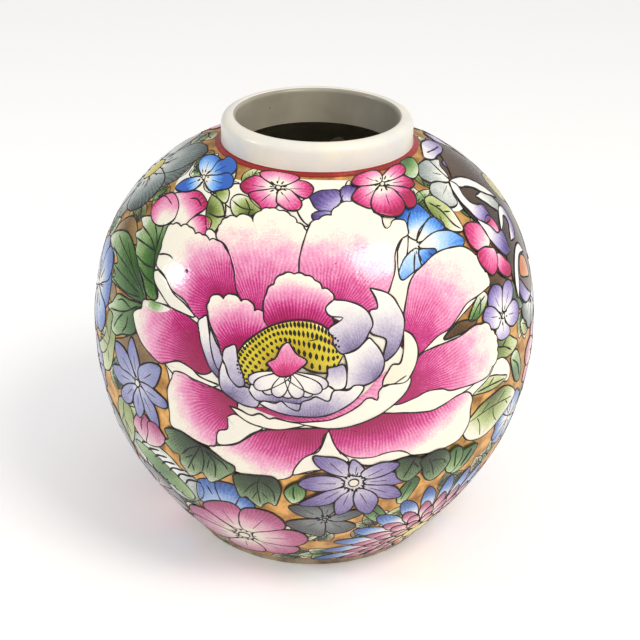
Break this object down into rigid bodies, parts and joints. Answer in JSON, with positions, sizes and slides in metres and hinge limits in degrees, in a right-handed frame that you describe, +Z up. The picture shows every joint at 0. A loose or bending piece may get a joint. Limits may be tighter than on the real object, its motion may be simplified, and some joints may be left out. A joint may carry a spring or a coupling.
{
  "type": "ginger jar",
  "caption": "Round porcelain ginger jar without a lid, with a short collar neck, a turned foot and an enamelled all-over flower pattern.",
  "frame": {"origin": "centre of the foot ring's underside, on the surface that the jar stands on", "axes": "+Z up along the jar's axis; the large flower faces -Y"},
  "size_m": [0.16, 0.16, 0.1568],
  "materials": {
    "bare_porcelain": "matte, unglazed fired clay",
    "painted_porcelain": "glossy glaze with overglaze enamel flowers",
    "white_glaze": "satin white glaze",
    "red_enamel": "glossy iron-red enamel",
    "rose_enamel": "glossy rose enamel shaded to white",
    "violet_enamel": "glossy violet enamel shaded to white",
    "blue_enamel": "glossy blue enamel shaded to white",
    "green_enamel": "glossy leaf-green enamel",
    "grey_enamel": "glossy grey-green enamel",
    "yellow_enamel": "glossy yellow enamel",
    "black_enamel": "black outline enamel",
    "gold_ground": "fired bronze-gold ground"
  },
  "bodies": {
    "root": {"foot_ring": "bare_porcelain", "lower_body": "painted_porcelain", "upper_body": "painted_porcelain", "neck_collar": "white_glaze", "red_neck_line": "red_enamel"}
  },
  "joints": []
}
